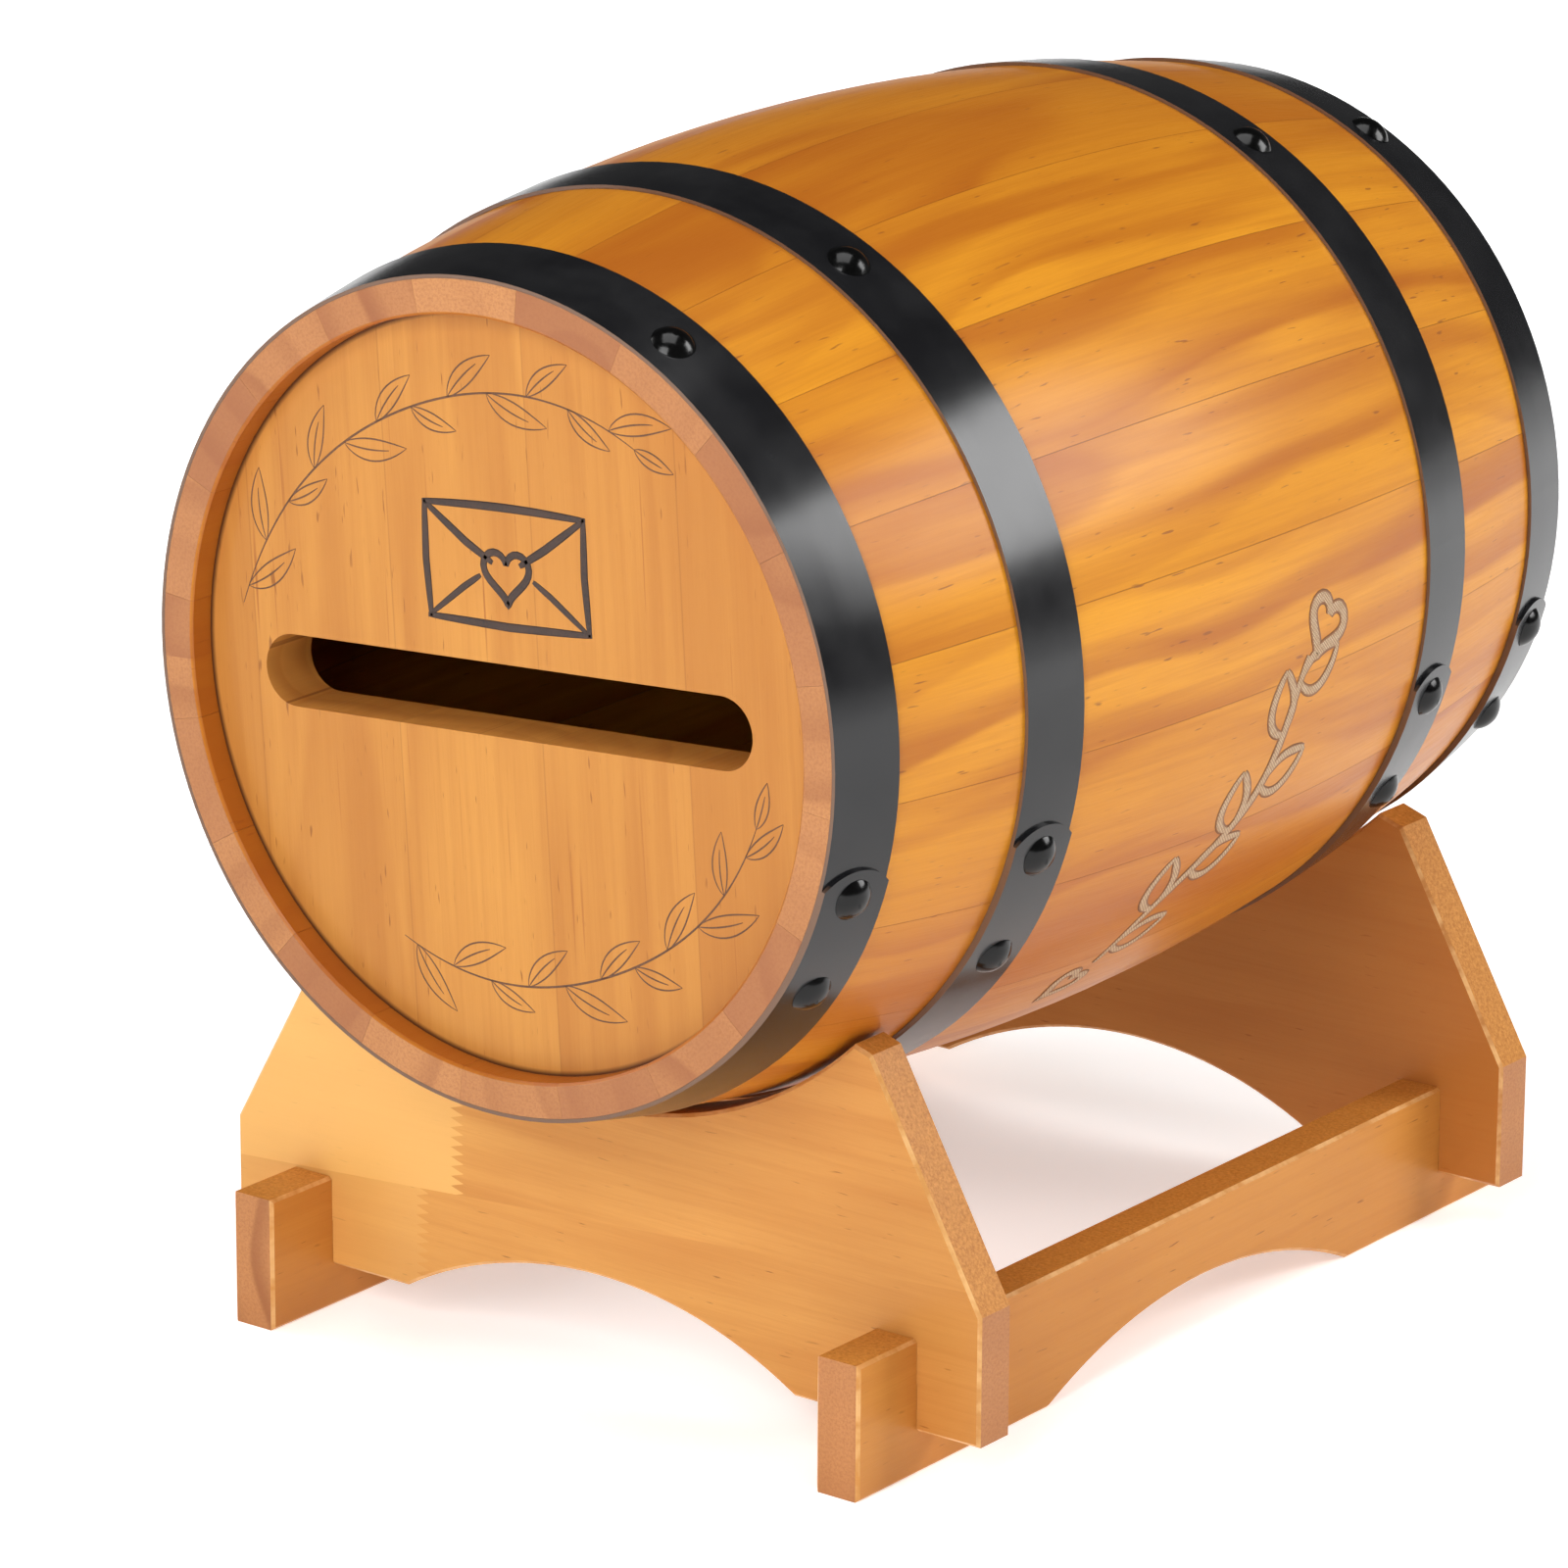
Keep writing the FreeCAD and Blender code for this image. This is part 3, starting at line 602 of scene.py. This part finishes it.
def sprig(strokes, start, end, radius, flare, leaves, width):
    """Leafy twig that follows the head's edge between two angles and flares out at both ends."""
    wave = 0.6 * MM
    leaf_ratio = 0.28
    leaf_bend = 0.25
    tip_length = 12.0 * MM
    tip_width = 3.6 * MM

    def stem(t):
        angle = math.radians(start + (end - start) * t)
        reach = radius + flare[0] * (1 - t) ** 4 + flare[1] * t ** 3 + wave * math.sin(9 * t)
        return reach * math.cos(angle), reach * math.sin(angle)

    strokes.line([stem(i / STEM_STEPS) for i in range(STEM_STEPS + 1)], width * 1.3)
    for i in range(leaves):
        t = (i + 0.35) / leaves
        here = stem(t)
        ahead = stem(t + 0.01)
        heading = math.atan2(ahead[1] - here[1], ahead[0] - here[0])
        side = 1 if i % 2 else -1
        spread = math.radians(44 + 9 * math.sin(2.3 * i))
        length = (16.5 + 2.5 * math.sin(1.7 * i + 1)) * MM
        shapes = leaf_shapes(here, heading + side * spread, length, length * leaf_ratio, -side * leaf_bend)
        for shape in shapes:
            strokes.line(shape, width)
    tip = stem(1.0)
    before = stem(0.98)
    heading = math.atan2(tip[1] - before[1], tip[0] - before[0])
    for shape in leaf_shapes(tip, heading, tip_length, tip_width, 0.1):
        strokes.line(shape, width)


def heart(middle, size, turn):
    """Outline of a heart as a flat closed polyline."""
    steps = 40
    outline = []
    for i in range(steps + 1):
        t = 2 * math.pi * i / steps
        x = math.sin(t) ** 3 * size / 2
        z = (13 * math.cos(t) - 5 * math.cos(2 * t) - 2 * math.cos(3 * t) - math.cos(4 * t)) / 32 * size
        outline.append((middle[0] + x * math.cos(turn) - z * math.sin(turn),
                        middle[1] + x * math.sin(turn) + z * math.cos(turn)))
    return outline


def envelope(strokes, middle, width, height, pen):
    """Pen drawing of an envelope sealed with a heart; its corners lie at 1 and -1 of u and v."""
    steps = 10
    bow_steps = 12

    def place(u, v):
        x = u * width / 2
        z = v * height / 2
        return (middle[0] + x * math.cos(ROLL) - z * math.sin(ROLL),
                middle[1] + x * math.sin(ROLL) + z * math.cos(ROLL))

    def pen_line(points, share=1.0):
        dense = []
        for (u0, v0), (u1, v1) in zip(points, points[1:]):
            for i in range(steps):
                t = i / steps
                dense.append(place(u0 + (u1 - u0) * t, v0 + (v1 - v0) * t))
        strokes.line(dense + [place(*points[-1])], pen * share, 0.55)

    bow = []
    for i in range(bow_steps + 1):
        t = i / bow_steps
        bow.append((-1.03 + 2.06 * t, 1 + 0.05 * math.sin(math.pi * t)))
    pen_line(bow)
    pen_line([(-1, 1.04), (-1.02, 0), (-0.99, -1.03)])
    pen_line([(1, 1.05), (0.98, 0), (1.01, -1.02)])
    pen_line([(-1.03, -1), (0, -1.04), (1.04, -0.99)])
    pen_line([(-0.99, 0.98), (-0.5, 0.38), (-0.17, 0.06)])
    pen_line([(0.99, 0.98), (0.5, 0.40), (0.17, 0.06)])
    pen_line([(-0.98, -0.96), (-0.55, -0.42), (-0.33, -0.18)], 0.8)
    pen_line([(0.98, -0.96), (0.55, -0.42), (0.33, -0.18)], 0.8)
    strokes.line(heart(place(0, -0.12), 0.5 * height, ROLL), pen, 0.7)


def burnt_material(name, base, light):
    """Scorched line: uneven brown, rougher than the lacquer around it."""
    g = Graph(name)
    char = g.noise(g.position, 1400.0, 3.0, 0.7)
    slow = g.noise(g.position, 90.0, 2.0, 0.5)
    look = g.mix(g.range(char, 0.35, 0.7, 0.0, 0.8), base, light)
    g.set("Base Color", g.mix(g.range(slow, 0.4, 0.65, 0.0, 0.35), look, light))
    g.set("Roughness", g.range(char, 0.3, 0.7, 0.55, 0.8))
    g.bump(char, 0.3, 0.1 * MM)
    return g.material


def hatched_material():
    """Lacquer taken off in fine crossed lines, pale wood between them."""
    pitch = 0.50 * MM
    g = Graph("mark_hatched")
    right, y, level = about_axis(g)
    around = g.mul(g.math("ARCTAN2", level, right), MID_RADIUS)
    hatch = 0.0
    for slant in (1.0, -1.0):
        place = g.math("MULTIPLY_ADD", around, slant, y)
        line = g.range(g.math("PINGPONG", place, pitch), 0.30 * MM, 0.42 * MM)
        hatch = g.math("MAXIMUM", hatch, line)
    scuff = g.noise(g.position, 700.0, 3.0, 0.6)
    look = g.mix(g.range(scuff, 0.3, 0.7), BARE_LIGHT, BARE_DARK)
    g.set("Base Color", g.mix(g.mul(hatch, 0.85), look, HATCH))
    g.set("Roughness", g.range(scuff, 0.3, 0.7, 0.55, 0.75))
    g.bump(hatch, 0.3, 0.1 * MM)
    return g.material


def engrave_head():
    """Two fine leafy sprigs along the head's edge and a bold envelope above the slot."""
    fine_line = 0.42 * MM
    bold_line = 2.1 * MM
    fine = burnt_material("mark_burnt_fine", CHAR_FINE, CHAR_FINE_LIGHT)
    twigs = Strokes("head_sprigs", on_head, 0.04 * MM)
    sprig(twigs, 174.0, 60.0, 69.5 * MM, (11.0 * MM, 5.0 * MM), 12, fine_line)
    sprig(twigs, -116.0, -14.0, 68.5 * MM, (3.0 * MM, 6.0 * MM), 11, fine_line)
    twigs.finish(fine)
    bold = burnt_material("mark_burnt_bold", CHAR_BOLD, CHAR_BOLD_LIGHT)
    letter = Strokes("head_envelope", on_head, 0.06 * MM)
    envelope(letter, (0.0, 30.6 * MM), 47.0 * MM, 27.0 * MM, bold_line)
    letter.finish(bold)


def engrave_side():
    """A branch with hearts that climbs the flank: broad pale strokes over wider scorched ones."""
    leaves = 7
    leaf_length = 17.0 * MM
    leaf_width = 9.5 * MM
    wave = 3.2 * MM
    waves = 1.25
    start = (-32.0 * MM, math.radians(-48.0))
    end = (25.0 * MM, math.radians(1.0))
    lean = math.atan2((end[1] - start[1]) * MID_RADIUS, end[0] - start[0])
    total = math.hypot(end[0] - start[0], (end[1] - start[1]) * MID_RADIUS)

    def on_branch(u, v):
        """Place from a distance along the branch and one to its left."""
        along = start[0] + u * math.cos(lean) - v * math.sin(lean)
        angle = start[1] + (u * math.sin(lean) + v * math.cos(lean)) / MID_RADIUS
        return on_skin(along, angle)

    def stem(t):
        return total * (0.10 + 0.80 * t), wave * math.sin(2 * math.pi * waves * t)

    def draw(strokes, pen):
        strokes.line([stem(i / STEM_STEPS) for i in range(STEM_STEPS + 1)], pen, 0.5)
        for i in range(leaves):
            t = (i + 0.5) / leaves
            here = stem(t)
            side = 1 if i % 2 else -1
            shapes = leaf_shapes(here, side * math.radians(58), leaf_length, leaf_width, -side * 0.35)
            for shape in shapes[:2]:
                strokes.line(shape, pen * 0.85, 0.5)
        for u, size in ((0.02, 13.0), (0.98, 15.0)):
            strokes.line(heart((total * u, 0.0), size * MM, -math.pi / 2), pen, 0.8)

    scorched = burnt_material("mark_scorched", SCORCH, SCORCH_LIGHT)
    outline = Strokes("side_branch_outline", on_branch, 0.05 * MM)
    draw(outline, 4.1 * MM)
    outline.finish(scorched)
    pale = Strokes("side_branch", on_branch, 0.09 * MM)
    draw(pale, 3.3 * MM)
    pale.finish(hatched_material())


engrave_head()
engrave_side()


# ---- Floor, light and camera ----
def build_floor():
    """Wide pale floor that glows more away from the object, so that it runs out into white."""
    half = 40.0
    corners = [(-half, -half, 0), (half, -half, 0), (half, half, 0), (-half, half, 0)]
    mesh = bpy.data.meshes.new("floor")
    mesh.from_pydata(corners, [], [(0, 1, 2, 3)])
    floor = bpy.data.objects.new("floor", mesh)
    bpy.context.scene.collection.objects.link(floor)
    g = Graph("floor_pale")
    tone = g.noise(g.position, 6.0, 2.0, 0.5)
    g.set("Base Color", g.mix(tone, FLOOR_GREY, FLOOR_WHITE))
    g.set("Roughness", 0.9)
    g.set("Specular IOR Level", 0.1)
    g.set("Emission Color", WHITE)
    x, y = g.split(g.position)[:2]
    near, near_glow = 0.4, 0.44
    far, far_glow = 1.8, 1.0
    g.set("Emission Strength", g.range(g.length(x, y), near, far, near_glow, far_glow))
    mesh.materials.append(g.material)


def softbox(name, azimuth, elevation, distance, size, power):
    """Square area light aimed at the object; azimuth is counted from +X towards +Y."""
    middle = Vector((0, 0, 0.16))
    a = math.radians(azimuth)
    e = math.radians(elevation)
    away = Vector((math.cos(a) * math.cos(e), math.sin(a) * math.cos(e), math.sin(e)))
    data = bpy.data.lights.new(name, "AREA")
    data.shape = "SQUARE"
    data.size = size
    data.energy = power
    light = bpy.data.objects.new(name, data)
    bpy.context.scene.collection.objects.link(light)
    light.location = middle + away * distance
    light.rotation_euler = away.to_track_quat("Z", "Y").to_euler()


def build_world():
    """White studio walls that fade to a darker ceiling."""
    wall_top = 0.15
    ceiling_start = 0.62
    wall_glow = 1.0
    ceiling_glow = 0.26
    world = bpy.data.worlds.new("studio")
    world.use_nodes = True
    bpy.context.scene.world = world
    tree = world.node_tree
    place = tree.nodes.new("ShaderNodeTexCoord")
    split = tree.nodes.new("ShaderNodeSeparateXYZ")
    fade = tree.nodes.new("ShaderNodeMapRange")
    fade.interpolation_type = "SMOOTHSTEP"
    tree.links.new(place.outputs["Generated"], split.inputs[0])
    tree.links.new(split.outputs[2], fade.inputs[0])
    for socket, value in zip(fade.inputs[1:], (wall_top, ceiling_start, wall_glow, ceiling_glow)):
        socket.default_value = value
    background = tree.nodes["Background"]
    tree.links.new(fade.outputs[0], background.inputs["Strength"])


def build_camera():
    """Long lens from the front right, above the barrel and looking slightly down."""
    lens = 178.6
    sensor = 36.0
    yaw, pitch, roll = (math.radians(a) for a in (37.28, -17.13, 0.31))
    forward = Vector((-math.sin(yaw) * math.cos(pitch), math.cos(yaw) * math.cos(pitch), math.sin(pitch)))
    level = forward.cross(Vector((0, 0, 1))).normalized()
    upright = level.cross(forward)
    right = level * math.cos(roll) + upright * math.sin(roll)
    up = upright * math.cos(roll) - level * math.sin(roll)
    data = bpy.data.cameras.new("camera")
    data.sensor_width = sensor
    data.lens = lens
    camera = bpy.data.objects.new("camera", data)
    bpy.context.scene.collection.objects.link(camera)
    place = Vector((1.0916, BARREL_START - 1.3214, 0.6881))
    camera.matrix_world = Matrix.Translation(place) @ Matrix((right, up, -forward)).transposed().to_4x4()
    bpy.context.scene.camera = camera


build_floor()
build_world()
build_camera()
softbox("key", azimuth=40, elevation=27, distance=2.0, size=0.9, power=22)
softbox("front", azimuth=-78, elevation=28, distance=2.2, size=1.15, power=30)
softbox("left", azimuth=200, elevation=25, distance=2.2, size=1.2, power=14)
softbox("overhead", azimuth=-60, elevation=84, distance=2.0, size=1.6, power=25)
bpy.context.scene.view_settings.view_transform = "Standard"
